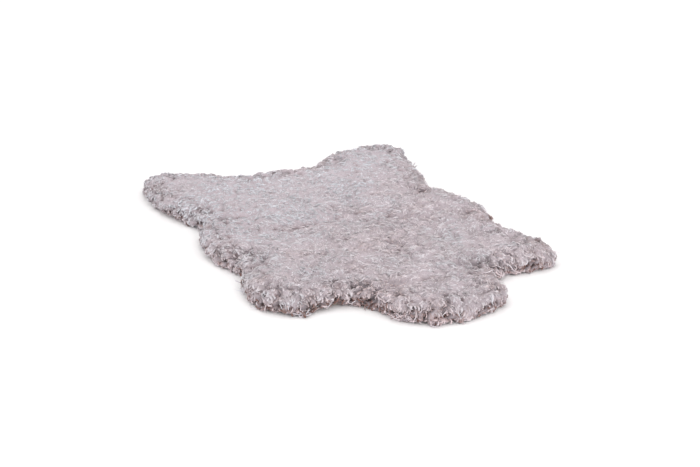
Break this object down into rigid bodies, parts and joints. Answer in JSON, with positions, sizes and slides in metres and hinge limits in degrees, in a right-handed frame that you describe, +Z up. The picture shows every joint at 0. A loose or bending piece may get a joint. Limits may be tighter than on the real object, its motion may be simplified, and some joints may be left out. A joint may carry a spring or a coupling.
{
  "type": "sheepskin rug",
  "caption": "Single-pelt sheepskin rug lying flat: tanned skin with leg and neck lobes, deep curly wool on top and loose locks round its rim.",
  "frame": {"origin": "on the floor, under the middle of the rug's box", "axes": "+Z up, +Y along the backbone from the neck to the rump, +X across the back"},
  "size_m": [0.6536, 0.9702, 0.0427],
  "materials": {
    "wool": "matt curly wool, pale lilac grey, darker between its locks",
    "skin": "matt tanned suede, ivory"
  },
  "bodies": {
    "root": {"pelt": "wool"}
  },
  "joints": []
}
